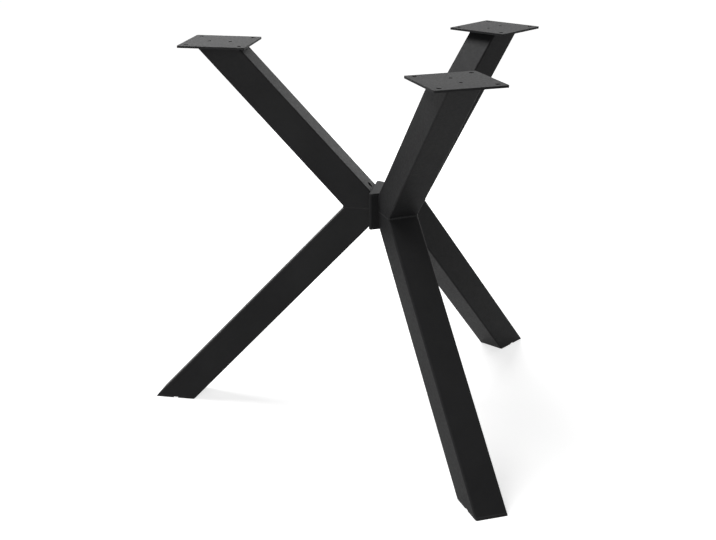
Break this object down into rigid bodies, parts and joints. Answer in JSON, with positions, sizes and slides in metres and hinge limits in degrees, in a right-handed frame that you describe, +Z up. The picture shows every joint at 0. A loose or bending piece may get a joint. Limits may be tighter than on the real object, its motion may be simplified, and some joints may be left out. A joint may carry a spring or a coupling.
{
  "type": "x-shaped table base",
  "caption": "Black welded-steel pedestal base for a table: sideways V legs of square tube bolted to a three-sided hub, with drilled top plates and plastic foot caps.",
  "frame": {"origin": "where the axis of the three-sided hub meets the plane of the plates' top faces, which is the underside of the table top; the floor is 0.73 m below", "axes": "+Z up along the hub's axis; the left leg runs out along -X, the front leg along the direction 300 degrees from +X and the right leg along 60 degrees"},
  "size_m": [0.7509, 0.8506, 0.73],
  "materials": {
    "coated_steel": "fine-textured matt black powder coat",
    "black_plastic": "moulded, fine matt texture",
    "zinc_steel": "bright zinc plate"
  },
  "bodies": {
    "root": {"hub_body": "coated_steel", "hub_top_cover": "black_plastic", "hub_bottom_cover": "black_plastic", "left_upper_arm": "coated_steel", "left_lower_arm": "coated_steel", "left_end_plate": "coated_steel", "left_top_plate": "coated_steel", "left_foot_cap": "black_plastic", "left_nuts": "zinc_steel", "front_upper_arm": "coated_steel", "front_lower_arm": "coated_steel", "front_end_plate": "coated_steel", "front_top_plate": "coated_steel", "front_foot_cap": "black_plastic", "front_nuts": "zinc_steel", "right_upper_arm": "coated_steel", "right_lower_arm": "coated_steel", "right_end_plate": "coated_steel", "right_top_plate": "coated_steel", "right_foot_cap": "black_plastic", "right_nuts": "zinc_steel"}
  },
  "joints": []
}
